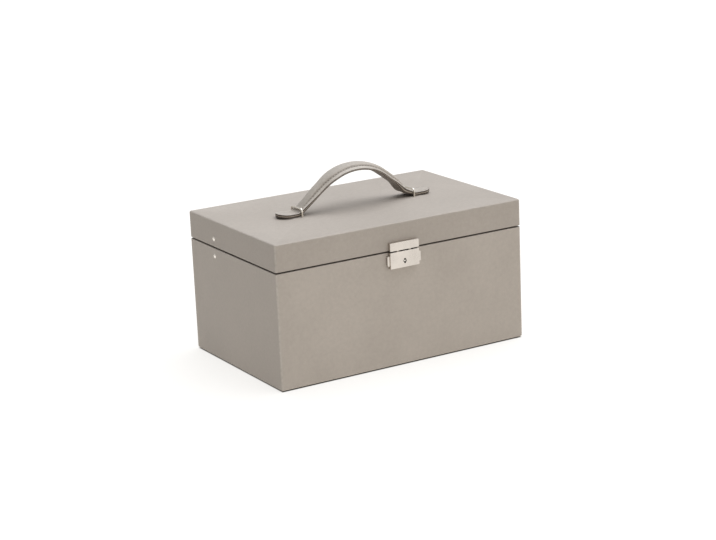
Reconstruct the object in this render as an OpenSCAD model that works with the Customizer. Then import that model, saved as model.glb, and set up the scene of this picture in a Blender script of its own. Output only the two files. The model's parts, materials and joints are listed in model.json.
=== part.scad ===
// Jewelry case: a leather covered box with a hinged lid, a strap handle held in wire loops,
// a squeeze lock, slotted lid stays and a ring tray that slides along two rails.
// The front faces -Y and the case stands on z = 0, centred on the origin.

/* [Case] */
// Width of the case, left to right
case_w = 320; // [280:1:380]
// Depth of the case, front to back
case_d = 204; // [185:1:240]
// Height of the closed case, without the handle
case_h = 165; // [150:1:200]
// Height of the lid, from the middle of the seam to its top
lid_h = 31.5; // [28:0.5:40]
// Open seam under a lid that rests on its catch
seam_gap = 1.4; // [1.3:0.1:2]
// Thickness of the wall boards
wall_t = 7; // [6.5:0.5:9]
// Thickness of the bottom board
bottom_t = 6; // [5:0.5:9]
// Thickness of the lid's top board
top_t = 7; // [6:0.5:9]
// Radius of the upright outer corners
corner_r = 2.5; // [2:0.1:5]
// Radius of the long outer edges
edge_r = 1.8; // [1.2:0.1:2.4]

/* [Covers and linings] */
// Thickness of the leather
cover_t = 1; // [0.8:0.1:1.3]
// Radius of the leather's fold over the rims
rim_r = 0.9; // [0.5:0.1:1]
// Width of the leather turned in under the base
turn_in = 12; // [8:1:20]
// Thickness of the linings
lining_t = 1; // [0.8:0.1:1.5]
// Leather left bare between a rim and its lining
lining_drop = 1.5; // [1:0.5:4]
// Height of the pad below the leather
pad_drop = 1.2; // [1:0.1:2.5]
// Distance of the pad's edge from the outside
pad_inset = 3; // [2:0.5:8]

/* [Hinges] */
// Distance of a hinge's middle from the side of the case
hinge_inset = 62; // [45:1:90]
// Length of a hinge
hinge_len = 42; // [30:1:60]
// Width of a leaf, from the hinge line
leaf_w = 9; // [8:0.5:9.5]
// Thickness of a leaf
leaf_t = 1; // [0.8:0.1:1.4]
// Radius of the knuckles
knuckle_r = 2.5; // [2.3:0.1:3]
// Distance of the hinge line behind the case
hinge_out = 2; // [1.8:0.1:2.4]
// Radius of the hinge pin
pin_r = 1.1; // [0.9:0.1:1.3]
// Running clearance round pins and pivots
run_clear = 0.05; // [0.03:0.01:0.08]
// Opening angle of the lid
lid_open = 100; // [80:1:110]

/* [Lid stays] */
// Distance of the stay rivets behind the middle of the case
stay_y = 42; // [30:1:52]
// Height of each rivet above or below the seam
stay_rise = 10; // [9:0.5:12]
// Width of a stay arm
stay_w = 9; // [8:0.5:11]
// Thickness of a stay arm
stay_t = 1.6; // [1.2:0.1:2.2]
// Space between a lining and its stay arm
stay_gap = 0.8; // [0.5:0.1:1.5]
// Clearance round the rivet in the slot
slot_clear = 0.3; // [0.2:0.05:0.5]
// Radius of the rivet shank
rivet_r = 1.6; // [1.2:0.1:1.8]
// Radius of the domed rivet head
rivet_head_r = 2.6; // [2.3:0.1:3.5]
// Height of the domed rivet head
rivet_head_h = 1; // [0.7:0.1:1.5]

/* [Lock] */
// Width of the lock case and of the hasp plate
lock_w = 37.5; // [35:0.5:44]
// Height of the lock case
lock_h = 18.6; // [18:0.2:22]
// Height of the hasp plate
hasp_h = 9.3; // [8.5:0.1:12]
// How far the lock stands out of the front
lock_proud = 4.5; // [4.4:0.1:5.5]
// How far the lock is let into the front board
lock_recess = 5; // [4.8:0.1:5.2]
// Thickness of the lock's sheet metal
lock_t = 1; // [0.8:0.1:1.2]
// Radius of the lock's front corners
lock_corner_r = 0.8; // [0.5:0.1:1.2]
// Clearance of the lock in its pocket
lock_fit = 0.15; // [0.1:0.05:0.3]
// Height of a squeeze button
button_h = 11.5; // [10.5:0.5:12]
// Height of a button's lower edge above the lock's
button_low = 3.3; // [3:0.1:3.6]
// How far a button stands out at the side
button_reach = 3; // [2.6:0.1:4]
// How far a button's face lies behind the lock's face
button_set = 1.5; // [1.3:0.1:1.7]
// Travel of a button
button_travel = 2; // [1.8:0.1:2.2]
// Distance of each hasp prong from the middle
prong_x = 7.75; // [7.6:0.05:7.8]
// Width of a hasp prong
prong_w = 3.3; // [3.1:0.1:3.4]
// How far a catch lug stands out of its prong
lug_reach = 0.8; // [0.6:0.1:0.9]
// Height of a catch lug
lug_t = 0.6; // [0.5:0.05:0.65]
// Depth of a catch lug below the rim
lug_drop = 2.5; // [2.3:0.1:2.6]
// Height of the keyhole above the lock's lower edge
key_rise = 7.2; // [7:0.1:7.4]
// Radius of the round part of the keyhole
key_r = 2; // [1.8:0.1:2.4]
// Radius of the pin in the keyhole
key_pin_r = 1; // [0.8:0.1:1.2]
// Width of the keyhole's two slots
key_slot_w = 2.2; // [1.8:0.1:2.4]
// Reach of the keyhole's slots above and below its middle
key_slot_reach = 2.8; // [2.6:0.1:3]

/* [Handle] */
// Distance between the two wire loops
loop_span = 149; // [130:1:165]
// Width of a loop, from leg to leg
loop_w = 24; // [23:0.5:30]
// Height of a loop above the lid
loop_h = 10; // [9:0.5:13]
// Radius of the loop's wire
wire_r = 1.1; // [0.8:0.1:1.2]
// Width of the strap where it runs through its loops
strap_w = 20.6; // [17:0.2:21]
// Width of the strap's middle, between its shoulders
strap_mid_w = 27.2; // [21:0.2:32]
// Distance from a loop to the middle of the strap's shoulder
shoulder_in = 40; // [34:1:46]
// Length of a shoulder, to either side of its middle
shoulder_run = 10; // [6:1:14]
// Thickness of the strap's stitched edges
strap_edge = 1.9; // [1.5:0.1:2.4]
// Width of the margin outside each row of stitches
margin_w = 3.5; // [2.5:0.1:4.5]
// Rise of the margin from its edge to its stitches
margin_rise = 1; // [0.5:0.1:1.4]
// Height of the stuffed middle above the stitches
fill_h = 4.9; // [3:0.1:5.5]
// Distance up a leg from its foot at which half of the stuffing is gone
fill_in = 11; // [9:0.5:14]
// Length over which the stuffing runs out, to either side of that place
fill_run = 16; // [14:0.5:20]
// Rise of the strap's underside above the lid
strap_rise = 42.5; // [36:0.5:50]
// Slope of the strap's straight legs
leg_angle = 37.5; // [35:0.5:42]
// Room under a loop for the strap
loop_gap = 0.9; // [0.6:0.05:1.5]
// Radius of the bend at each foot of the strap
foot_r = 10; // [9:0.5:14]
// Thickness of the flat strap tips
tip_t = 3.8; // [3:0.1:4.2]
// Radius of the rounded strap tips
tip_r = 11.4; // [11.2:0.1:13]
// Distance from a loop to the middle of its tip
tip_reach = 15; // [14:0.5:20]

/* [Mirror] */
// Distance of the mirror frame from the lid's inner walls
mirror_margin = 26; // [18:1:50]
// Width of the frame's face
frame_w = 8; // [5:0.5:14]
// Thickness of the frame
frame_t = 3.4; // [2.8:0.1:5]
// Thickness of the glass
glass_t = 2; // [1.5:0.1:2.4]

/* [Dividers and rails] */
// Thickness of the lower dividers
divider_t = 3; // [2:0.5:5]
// Distance of each cross divider from the middle
cross_x = 50; // [35:1:70]
// Depth of the rails' running faces below the rim
rail_drop = 50.8; // [46.8:0.5:62]
// Height of a rail
rail_h = 8; // [5:0.5:12]
// Width of a rail
rail_w = 6; // [4:0.5:9]

/* [Tray] */
// Width of the sliding tray
tray_w = 140; // [120:1:150]
// Height of the tray
tray_h = 44; // [36:1:46]
// Thickness of the tray's walls and floor
tray_t = 3; // [2:0.5:4]
// Sliding clearance of the tray
tray_clear = 0.8; // [0.5:0.1:1.5]
// Number of ring rolls
roll_count = 5; // [3:1:6]
// Radius of a ring roll
roll_r = 8; // [6:0.5:9]
// Gap between neighbouring ring rolls
roll_gap = 0.5; // [0.4:0.1:1]
// Height of the tray's dividers
tray_divider_h = 30; // [20:1:34]

/* [Hidden] */

$fn = 48;
// Overlap of cutters past the faces that they open
over = 1;

leather = "#a39a90";
board = "#b99b6e";
suede = "#8d8078";
nickel = "#ddd5ca";
felt = "#3a3633";
silvered = "#d5dde0";

// Case levels and sizes
seam_z = case_h - lid_h;
rim_base = seam_z - seam_gap / 2;
rim_lid = seam_z + seam_gap / 2;
front_y = -case_d / 2;
core_w = case_w - 2 * cover_t;
core_d = case_d - 2 * cover_t;
core_r = corner_r - cover_t;
core_z = pad_drop + cover_t;
board_top = rim_base - cover_t;
inner_w = core_w - 2 * wall_t;
inner_d = core_d - 2 * wall_t;
clear_w = inner_w - 2 * lining_t;
clear_d = inner_d - 2 * lining_t;
floor_z = core_z + bottom_t + lining_t;
lid_core_z = rim_lid + cover_t;
lid_top_z = case_h - cover_t;
ceiling_z = lid_top_z - top_t;
pad_r = 3;
filler_fit = 0.5;
panel_gap = 0.2;

// Hinges
hinge_x = case_w / 2 - hinge_inset;
hinge_y = case_d / 2 + hinge_out;
leaf_y = hinge_y - leaf_w;
knuckle_gap = 0.3;
notch_clear = 0.3;
knuckle_len = (hinge_len - 2 * knuckle_gap) / 3;
leaf_fit = 0.15;
hinge_screw_end = 9;
hinge_screw_edge = 3.2;
hinge_screw_x = hinge_len / 2 - hinge_screw_end;
hinge_screw_y = leaf_y + hinge_screw_edge;
hinge_screw_r = 0.9;
hinge_screw_head_r = 1.7;
hinge_screw_len = 9;
screw_fit = 0.05;

// Lid stays: both rivets lie equally far from the hinge line, so an arm turns half as far as the lid
stay_low = seam_z - stay_rise;
stay_high = seam_z + stay_rise;
stay_arm_y = hinge_y - stay_y;
stay_radius = norm([stay_arm_y, stay_rise]);
stay_apex = 2 * atan(stay_rise / stay_arm_y);
slot_from = stay_high - stay_low;
slot_to = 2 * stay_radius * sin((stay_apex + lid_open) / 2);
slot_r = rivet_r + slot_clear;
stay_tail = 0.6;
stay_end = slot_to + slot_r + stay_tail;
stay_face = clear_w / 2 - stay_gap;
rivet_play = 0.1;
rivet_inner_r = 3;
rivet_inner_t = 1;
collar_r = 2.6;
rivet_grip = cover_t + wall_t + lining_t;
rivet_reach = rivet_grip + stay_gap + stay_t + rivet_play;

// Lock
lock_front = front_y - lock_proud;
lock_inner = lock_front + lock_t;
lock_back = front_y + lock_recess;
plate_front = lock_back - lock_t;
lock_low = rim_base - lock_h;
slide_clear = 0.2;
slide_room = 0.3;
skin_clear = 0.4;
button_z = lock_low + button_low;
button_front = lock_front + button_set;
button_back = front_y - skin_clear;
button_out = lock_w / 2 + button_reach;
button_chamfer = 0.8;
slide_t = 0.8;
slide_back = button_back + slide_t;
slide_arm_h = 2.8;
prong_in = prong_x - prong_w / 2;
prong_out = prong_x + prong_w / 2;
button_clear = 0.35;
button_in = prong_out + button_travel + button_clear;
prong_set = 0.4;
prong_front = button_front + prong_set;
prong_back = button_back - slide_clear;
prong_room = 0.5;
lug_in = prong_in - lug_reach;
lug_low = rim_base - lug_drop;
catch_clear = 0.2;
catch_play = 0.1;
nose_top = lug_low - catch_clear;
nose_t = seam_gap - catch_clear - lug_t - catch_play;
nose_out = prong_in - slide_clear;
nose_len = 2.2;
nose_in = nose_out - nose_len;
key_z = lock_low + key_rise;
cam_clear = 0.3;
cam_front = lock_inner + cam_clear;
cam_back = prong_back;
cam_r = 4.2;
cam_arm_w = 3.2;
cam_past = 0.15;
cam_play = 0.25;
cam_reach = prong_x + cam_past;
cam_sweep = norm([cam_reach, cam_arm_w / 2]) + cam_play;
hook_top = key_z - cam_arm_w / 2 - cam_clear;
hook_t = 1.2;
post_in = 2.8;
post_t = 1.2;
post_out = post_in + post_t;
tab_t = 1;
spring_r = 1;
spring_rise = 2;
spring_z = button_z + spring_rise;
spring_tab_h = 3;
spring_y = (slide_back + slide_clear + plate_front) / 2;
spring_wire_r = 0.22;
spring_turns = 6;
spring_sides = 6;
spring_rings = 10;
spring_seat = 0.1;
spring_from = post_out + spring_seat;
spring_to = button_in - spring_seat;
spring_run = spring_to - spring_from - 2 * spring_wire_r;
spring_steps = spring_turns * spring_rings;
boss_inset = 4.2;
boss_x = lock_w / 2 - boss_inset;
boss_z = button_z + button_h / 2;
boss_r = 2;
boss_len = 2.4;
lock_screw_r = 1;
lock_screw_head_r = 2;
lock_screw_end = 0.4;
lock_screw_len = -inner_d / 2 - plate_front + boss_len - lock_screw_end;
hasp_screw_off = 4;
hasp_screw_x = prong_x + hasp_screw_off;
hasp_screw_z = rim_lid + hasp_h / 2;
hasp_screw_r = 1.2;
hasp_screw_head_r = 2.4;
hasp_screw_bite = 3;
hasp_screw_len = wall_t + cover_t + hasp_screw_bite;

// Handle: two straight legs, tangent to a crown arc and to a bend at each foot
loop_x = loop_span / 2;
loop_bend_r = 3;
loop_fit = 0.1;
strap_gap = 0.4;
crown_steps = 12;
leg_steps = 8;
foot_steps = 6;
tip_steps = 9;
fill_steps = 8;
strap_z = case_h + strap_gap;
strap_top = strap_rise - strap_gap;
strap_half_w = strap_w / 2;
bar_z = case_h + loop_h - wire_r;
foot_rise = foot_r * (1 - cos(leg_angle));
foot_t = tip_t + eased((fill_run - fill_in) / (2 * fill_run)) * (strap_edge - tip_t + margin_rise + fill_h);
foot_room = bar_z - strap_z - foot_rise - foot_t * cos(leg_angle) - (wire_r + loop_gap) / cos(leg_angle);
leg_run = loop_x - foot_t * sin(leg_angle) + foot_room / tan(leg_angle);
land_x = leg_run + foot_r * sin(leg_angle);
leg_rise = strap_top - foot_rise;
crown_r = (leg_run * sin(leg_angle) - leg_rise * cos(leg_angle)) / (1 - cos(leg_angle));
leg_l = (leg_rise - crown_r * (1 - cos(leg_angle))) / sin(leg_angle);
tip_x = loop_x + tip_reach;
tip_flare = acos(strap_half_w / tip_r);
tip_turn = 84;

// Mirror
lid_ceiling = ceiling_z - lining_t;
frame_out_w = clear_w - 2 * mirror_margin;
frame_out_d = clear_d - 2 * mirror_margin;
frame_r = 6;
frame_lip = 1.5;
frame_ease = 0.1;
glass_fit = 0.2;

// Dividers and tray
divider_fit = 0.3;
lap_fit = 0.1;
divider_drop = 0.5;
rail_z = rim_base - rail_drop;
divider_top = rail_z - rail_h - divider_drop;
rail_end = 1;
rail_ease = 1.5;
tray_x = stay_face - stay_t - rivet_play - rivet_inner_t - tray_clear;
tray_d = clear_d - 2 * tray_clear;
tray_lift = 0.2;
tray_r = 2;
tray_finger_r = 14;
tray_z = rail_z + tray_lift;
tray_floor = tray_z + tray_t;
tray_left = -tray_x;
tray_mid = tray_left + tray_w / 2;
tray_in_w = tray_w - 2 * tray_t;
tray_in_d = tray_d - 2 * tray_t;
tray_front = -tray_in_d / 2;
roll_pitch = 2 * roll_r + roll_gap;
roll_end_gap = 1;
roll_len = tray_in_w - 2 * roll_end_gap;
roll_end_r = 5;
roll_seat = 0.3;
roll_zone = roll_count * roll_pitch + roll_gap;
tray_divider_y = tray_front + roll_zone;
tray_divider_t = 2;
tray_fit = 0.2;

// Box between two corners
module span(low, high) {
    translate(low) cube(high - low);
}

// Rectangle with round corners
module rounded_rect(w, d, r) {
    square([w - 2 * r, d], center = true);
    square([w, d - 2 * r], center = true);
    for (sx = [-1, 1], sy = [-1, 1])
        translate([sx * (w / 2 - r), sy * (d / 2 - r)]) circle(r = r);
}

// What a round edge takes off a square corner at the origin
module corner_bite(r) {
    difference() {
        translate([-over, -over]) square(r + over);
        translate([r, r]) circle(r = r);
    }
}

// Upright section with round edges at its top and its foot
module round_section(w, h, r_top, r_low) {
    difference() {
        translate([-w / 2, 0]) square([w, h]);
        for (s = [0, 1]) mirror([s, 0]) {
            translate([-w / 2, 0]) corner_bite(r_low);
            translate([-w / 2, h]) mirror([0, 1]) corner_bite(r_top);
        }
    }
}

// Block with round upright corners and round long edges
module soft_block(w, d, h, r_up, r_top, r_low) {
    intersection() {
        linear_extrude(h) rounded_rect(w, d, r_up);
        translate([0, d / 2, 0]) rotate([90, 0, 0]) linear_extrude(d) round_section(w, h, r_top, r_low);
        translate([-w / 2, 0, 0]) rotate([90, 0, 90]) linear_extrude(w) round_section(d, h, r_top, r_low);
    }
}

// Countersunk screw with its head's face at the origin, pointing down
module screw(r, head_r, length) {
    rotate_extrude()
        polygon([[0, 0], [head_r, 0], [r, r - head_r], [r, -length], [0, -length]]);
}

// Closed skin over a row of rings, all with the same number of points
module skin(rings) {
    sides = len(rings[0]);
    last = (len(rings) - 1) * sides;
    walls = [for (i = [0:len(rings) - 2], k = [0:sides - 1])
        let (a = i * sides + k, b = i * sides + (k + 1) % sides)
        each [[a, a + sides, b], [b, a + sides, b + sides]]];
    first_cap = [for (k = [1:sides - 2]) [0, k, k + 1]];
    last_cap = [for (k = [1:sides - 2]) [last, last + k + 1, last + k]];
    polyhedron([for (ring = rings, p = ring) p], concat(walls, first_cap, last_cap));
}

// Base boards
module base_core() {
    translate([0, 0, core_z]) linear_extrude(board_top - core_z) rounded_rect(core_w, core_d, core_r);
}

module stay_holes() {
    for (z = [stay_low, stay_high])
        translate([-case_w / 2 - over, stay_y, z]) rotate([0, 90, 0])
            cylinder(r = rivet_r + run_clear, h = case_w + 2 * over);
}

module hinge_cuts() {
    room = hinge_len / 2 + notch_clear;
    barrel = knuckle_r + notch_clear;
    for (s = [-1, 1]) translate([s * hinge_x, 0, 0]) {
        span([-room, leaf_y - leaf_fit, rim_base - leaf_t], [room, hinge_y, rim_lid + leaf_t]);
        span([-room, hinge_y - barrel, seam_z - barrel], [room, hinge_y, seam_z + barrel]);
    }
}

module hinge_screw_places() {
    for (s = [-1, 1], k = [-1, 1])
        translate([s * hinge_x + k * hinge_screw_x, hinge_screw_y, 0]) children();
}

module hinge_screws(fit) {
    hinge_screw_places() screw(hinge_screw_r + fit, hinge_screw_head_r + fit, hinge_screw_len + fit);
}

module lock_pocket() {
    half = lock_w / 2 + lock_fit;
    span([-half, front_y - over, lock_low - lock_fit], [half, lock_back, rim_base + over]);
}

// Screws that run forward from the inner face of a front board
module front_screws(x, z, r, head_r, length) {
    for (s = [-1, 1])
        translate([s * x, -inner_d / 2, z]) rotate([-90, 0, 0]) screw(r, head_r, length);
}

module lock_screw_set(fit) {
    front_screws(boss_x, boss_z, lock_screw_r + fit, lock_screw_head_r + fit, lock_screw_len + fit);
}

module hasp_screw_set(fit) {
    front_screws(hasp_screw_x, hasp_screw_z, hasp_screw_r + fit, hasp_screw_head_r + fit,
        hasp_screw_len + fit);
}

module bottom_board() {
    color(board) span([-inner_w / 2, -inner_d / 2, core_z], [inner_w / 2, inner_d / 2, core_z + bottom_t]);
}

module front_board() {
    color(board) difference() {
        intersection() {
            base_core();
            span([-case_w, -case_d, 0], [case_w, -inner_d / 2, case_h]);
        }
        lock_pocket();
        lock_screw_set(screw_fit);
    }
}

module back_board() {
    color(board) difference() {
        intersection() {
            base_core();
            span([-case_w, inner_d / 2, 0], [case_w, case_d, case_h]);
        }
        hinge_cuts();
        translate([0, 0, rim_base]) hinge_screws(screw_fit);
    }
}

module side_board(low, high) {
    difference() {
        span([inner_w / 2, -inner_d / 2, low], [core_w / 2, inner_d / 2, high]);
        stay_holes();
    }
}

module left_board() {
    color(board) mirror([1, 0, 0]) side_board(core_z, board_top);
}

module right_board() {
    color(board) side_board(core_z, board_top);
}

// Leather of the base, folded over the rim and turned in under the bottom
module case_cover() {
    under_w = case_w - 2 * turn_in;
    under_d = case_d - 2 * turn_in;
    color(leather) difference() {
        translate([0, 0, pad_drop])
            soft_block(case_w, case_d, rim_base - pad_drop, corner_r, rim_r, edge_r);
        base_core();
        span([-inner_w / 2, -inner_d / 2, core_z], [inner_w / 2, inner_d / 2, case_h]);
        span([-under_w / 2, -under_d / 2, 0], [under_w / 2, under_d / 2, core_z + over]);
        stay_holes();
        hinge_cuts();
        lock_pocket();
    }
}

// Pad under the base, thicker inside the turned-in leather
module base_pad() {
    filler_w = case_w - 2 * turn_in - 2 * filler_fit;
    filler_d = case_d - 2 * turn_in - 2 * filler_fit;
    color(felt) union() {
        linear_extrude(pad_drop) rounded_rect(case_w - 2 * pad_inset, case_d - 2 * pad_inset, pad_r);
        linear_extrude(core_z) rounded_rect(filler_w, filler_d, pad_r);
    }
}

module floor_lining() {
    color(suede) span([-inner_w / 2, -inner_d / 2, core_z + bottom_t], [inner_w / 2, inner_d / 2, floor_z]);
}

// Four panels glued to the inner faces of a ring of walls
module lining_panels(low, high) {
    side = clear_d / 2 - panel_gap;
    difference() {
        union() {
            for (s = [0, 1]) {
                mirror([0, s, 0]) span([-inner_w / 2, clear_d / 2, low], [inner_w / 2, inner_d / 2, high]);
                mirror([s, 0, 0]) span([clear_w / 2, -side, low], [inner_w / 2, side, high]);
            }
        }
        stay_holes();
    }
}

module wall_lining() {
    color(suede) lining_panels(floor_z, rim_base - lining_drop);
}

// Rail glued to the back lining, with its upper inner edge eased
module tray_rail() {
    half = clear_w / 2 - rail_end;
    translate([-half, clear_d / 2 - rail_w, rail_z - rail_h]) rotate([90, 0, 90]) linear_extrude(2 * half)
        polygon([[0, rail_h / 2], [rail_w / 2, 0], [rail_w, 0], [rail_w, rail_h], [rail_ease, rail_h],
            [0, rail_h - rail_ease]]);
}

module rail_front() {
    color(board) mirror([0, 1, 0]) tray_rail();
}

module rail_back() {
    color(board) tray_rail();
}

// Lower dividers, half lapped where they cross
module divider_long() {
    half = clear_w / 2 - divider_fit;
    lap = divider_t / 2 + lap_fit;
    mid = (floor_z + divider_top) / 2;
    color(suede) difference() {
        span([-half, -divider_t / 2, floor_z], [half, divider_t / 2, divider_top]);
        for (s = [-1, 1]) translate([s * cross_x, 0, 0])
            span([-lap, -divider_t, mid - lap_fit], [lap, divider_t, divider_top + over]);
    }
}

module cross_divider(s) {
    half = clear_d / 2 - divider_fit;
    lap = divider_t / 2 + lap_fit;
    mid = (floor_z + divider_top) / 2;
    color(suede) translate([s * cross_x, 0, 0]) difference() {
        span([-divider_t / 2, -half, floor_z], [divider_t / 2, half, divider_top]);
        span([-divider_t, -lap, floor_z - over], [divider_t, lap, mid + lap_fit]);
    }
}

module cross_divider_left() {
    cross_divider(-1);
}

module cross_divider_right() {
    cross_divider(1);
}

// Butt hinges: two knuckles on the base leaf, one between them on the lid leaf
module knuckle(x, length) {
    translate([x - length / 2, hinge_y, seam_z]) rotate([0, 90, 0]) cylinder(r = knuckle_r, h = length);
}

module pin_bore() {
    translate([-hinge_len, hinge_y, seam_z]) rotate([0, 90, 0])
        cylinder(r = pin_r + run_clear, h = 2 * hinge_len);
}

module leaf_base(s) {
    outer = knuckle_len + knuckle_gap;
    color(nickel) difference() {
        translate([s * hinge_x, 0, 0]) difference() {
            union() {
                span([-hinge_len / 2, leaf_y, rim_base - leaf_t], [hinge_len / 2, hinge_y, rim_base]);
                for (k = [-1, 1]) knuckle(k * outer, knuckle_len);
            }
            knuckle(0, knuckle_len + 2 * knuckle_gap);
            pin_bore();
        }
        translate([0, 0, rim_base]) hinge_screws(screw_fit);
    }
}

module leaf_lid(s) {
    outer = knuckle_len + knuckle_gap;
    color(nickel) difference() {
        translate([s * hinge_x, 0, 0]) difference() {
            union() {
                span([-hinge_len / 2, leaf_y, rim_lid], [hinge_len / 2, hinge_y, rim_lid + leaf_t]);
                knuckle(0, knuckle_len);
            }
            for (k = [-1, 1]) knuckle(k * outer, knuckle_len + 2 * knuckle_gap);
            pin_bore();
        }
        translate([0, 0, rim_lid]) mirror([0, 0, 1]) hinge_screws(screw_fit);
    }
}

module hinge_pin(s) {
    color(nickel) translate([s * hinge_x - hinge_len / 2, hinge_y, seam_z]) rotate([0, 90, 0])
        cylinder(r = pin_r, h = hinge_len);
}

module hinge_leaf_base_left() {
    leaf_base(-1);
}

module hinge_leaf_base_right() {
    leaf_base(1);
}

module hinge_leaf_lid_left() {
    leaf_lid(-1);
}

module hinge_leaf_lid_right() {
    leaf_lid(1);
}

module hinge_pin_left() {
    hinge_pin(-1);
}

module hinge_pin_right() {
    hinge_pin(1);
}

module hinge_screws_base() {
    color(nickel) translate([0, 0, rim_base]) hinge_screws(0);
}

module hinge_screws_lid() {
    color(nickel) translate([0, 0, rim_lid]) mirror([0, 0, 1]) hinge_screws(0);
}

// Stay rivet, pointing out of the wall: domed head, shank, collar and inner head
module stay_rivet() {
    dome = (rivet_head_r * rivet_head_r + rivet_head_h * rivet_head_h) / (2 * rivet_head_h);
    rotate_extrude() intersection() {
        translate([0, rivet_head_h - dome]) circle(r = dome, $fn = 96);
        square([rivet_head_r, rivet_head_h]);
    }
    translate([0, 0, -rivet_reach]) cylinder(r = rivet_r, h = rivet_reach);
    translate([0, 0, -rivet_grip - stay_gap + rivet_play]) cylinder(r = collar_r, h = stay_gap - rivet_play);
    translate([0, 0, -rivet_reach - rivet_inner_t]) cylinder(r = rivet_inner_r, h = rivet_inner_t);
}

module stay_rivets(z) {
    for (s = [0, 1]) mirror([s, 0, 0])
        translate([case_w / 2, stay_y, z]) rotate([0, 90, 0]) stay_rivet();
}

module base_stay_rivets() {
    color(nickel) stay_rivets(stay_low);
}

module lid_stay_rivets() {
    color(nickel) stay_rivets(stay_high);
}

// Slotted arm that hangs from the lid rivet and rides on the base rivet
module stay_arm() {
    translate([stay_face - stay_t, stay_y, stay_high]) rotate([90, 0, 90]) linear_extrude(stay_t)
        difference() {
            union() {
                circle(d = stay_w);
                translate([-stay_w / 2, -stay_end]) square([stay_w, stay_end]);
                translate([0, -stay_end]) circle(d = stay_w);
            }
            circle(r = rivet_r + run_clear);
            translate([0, -slot_from]) circle(r = slot_r);
            translate([-slot_r, -slot_to]) square([2 * slot_r, slot_to - slot_from]);
            translate([0, -slot_to]) circle(r = slot_r);
        }
}

module stay_arm_left() {
    color(nickel) mirror([1, 0, 0]) stay_arm();
}

module stay_arm_right() {
    color(nickel) stay_arm();
}

// Slots above and below the key pin, for a key with two bits
module key_slots() {
    square([key_slot_w, 2 * key_slot_reach], center = true);
}

// Lock case: a pressed box, open at the back, with windows for the buttons and slots for the prongs
module lock_case() {
    depth = plate_front - lock_front;
    window = button_z - slide_clear;
    color(nickel) difference() {
        translate([0, plate_front, lock_low + lock_h / 2]) rotate([90, 0, 0])
            linear_extrude(depth) rounded_rect(lock_w, lock_h, lock_corner_r);
        span([lock_t - lock_w / 2, lock_inner, lock_low + lock_t],
            [lock_w / 2 - lock_t, lock_back + over, rim_base - lock_t]);
        for (s = [0, 1]) mirror([s, 0, 0]) {
            span([lock_w / 2 - 2 * lock_t, button_front - slide_clear, window],
                [lock_w, button_back + slide_clear, window + button_h + 2 * slide_clear]);
            span([lug_in - prong_room, lock_inner, rim_base - 2 * lock_t],
                [prong_out + prong_room, prong_back + prong_room, rim_base + over]);
        }
        translate([0, lock_inner + over, key_z]) rotate([90, 0, 0]) linear_extrude(lock_t + 2 * over) {
            circle(r = key_r);
            key_slots();
        }
    }
}

// Back plate with the key pin, two screw bosses and the spring posts
module lock_back_plate() {
    post_half = spring_tab_h / 2;
    color(nickel) difference() {
        union() {
            translate([0, lock_back, lock_low + lock_h / 2]) rotate([90, 0, 0])
                linear_extrude(lock_t) rounded_rect(lock_w, lock_h, lock_corner_r);
            translate([0, plate_front, key_z]) rotate([90, 0, 0])
                cylinder(r = key_pin_r, h = plate_front - lock_front - lock_t / 2);
            for (s = [-1, 1]) translate([s * boss_x, plate_front, boss_z]) rotate([90, 0, 0])
                cylinder(r = boss_r, h = boss_len);
            for (s = [0, 1]) mirror([s, 0, 0])
                span([post_in, slide_back + slide_clear, spring_z - post_half],
                    [post_out, lock_back, spring_z + post_half]);
        }
        lock_screw_set(screw_fit);
    }
}

module lock_screws() {
    color(nickel) lock_screw_set(0);
}

// Squeeze button with chamfered outer corners
module latch_button() {
    translate([0, button_back, button_z]) rotate([90, 0, 0]) linear_extrude(button_back - button_front)
        polygon([[button_in, 0], [button_out - button_chamfer, 0], [button_out, button_chamfer],
            [button_out, button_h - button_chamfer], [button_out - button_chamfer, button_h],
            [button_in, button_h]]);
}

// Plate behind a button: an arm behind the prong ends in the catch nose, a tab takes the spring
module latch_slide() {
    tab_half = spring_tab_h / 2;
    span([button_in, button_back, button_z],
        [lock_w / 2 - lock_t - slide_room, slide_back, button_z + button_h]);
    span([nose_in, button_back, nose_top - slide_arm_h], [button_in, slide_back, nose_top]);
    span([nose_in, button_front, nose_top - nose_t], [nose_out, button_back, nose_top]);
    span([button_in, slide_back, spring_z - tab_half],
        [button_in + tab_t, plate_front - slide_room, spring_z + tab_half]);
}

module latch_button_left() {
    color(nickel) mirror([1, 0, 0]) latch_button();
}

module latch_button_right() {
    color(nickel) latch_button();
}

module latch_slide_left() {
    color(nickel) mirror([1, 0, 0]) latch_slide();
}

module latch_slide_right() {
    color(nickel) latch_slide();
}

// Button spring: one unbroken coil between its post and the slide's tab
function spring_point(i) = let (a = 360 * i / spring_rings)
    [spring_from + spring_wire_r + spring_run * i / spring_steps, spring_r * cos(a), spring_r * sin(a)];

function spring_ring(i) = let (a = 360 * i / spring_rings, p = spring_point(i))
    [for (k = [0:spring_sides - 1]) let (b = 360 * k / spring_sides)
        p + spring_wire_r * [sin(b), cos(b) * cos(a), cos(b) * sin(a)]];

spring_least_gap = min([for (i = [0:spring_steps - spring_rings])
    norm(spring_point(i + spring_rings) - spring_point(i))]) - 2 * spring_wire_r;
echo(spring_least_gap = spring_least_gap);

module latch_spring() {
    translate([0, spring_y, spring_z]) skin([for (i = [0:spring_steps]) spring_ring(i)]);
}

module latch_spring_left() {
    color(nickel) mirror([1, 0, 0]) latch_spring();
}

module latch_spring_right() {
    color(nickel) latch_spring();
}

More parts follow.
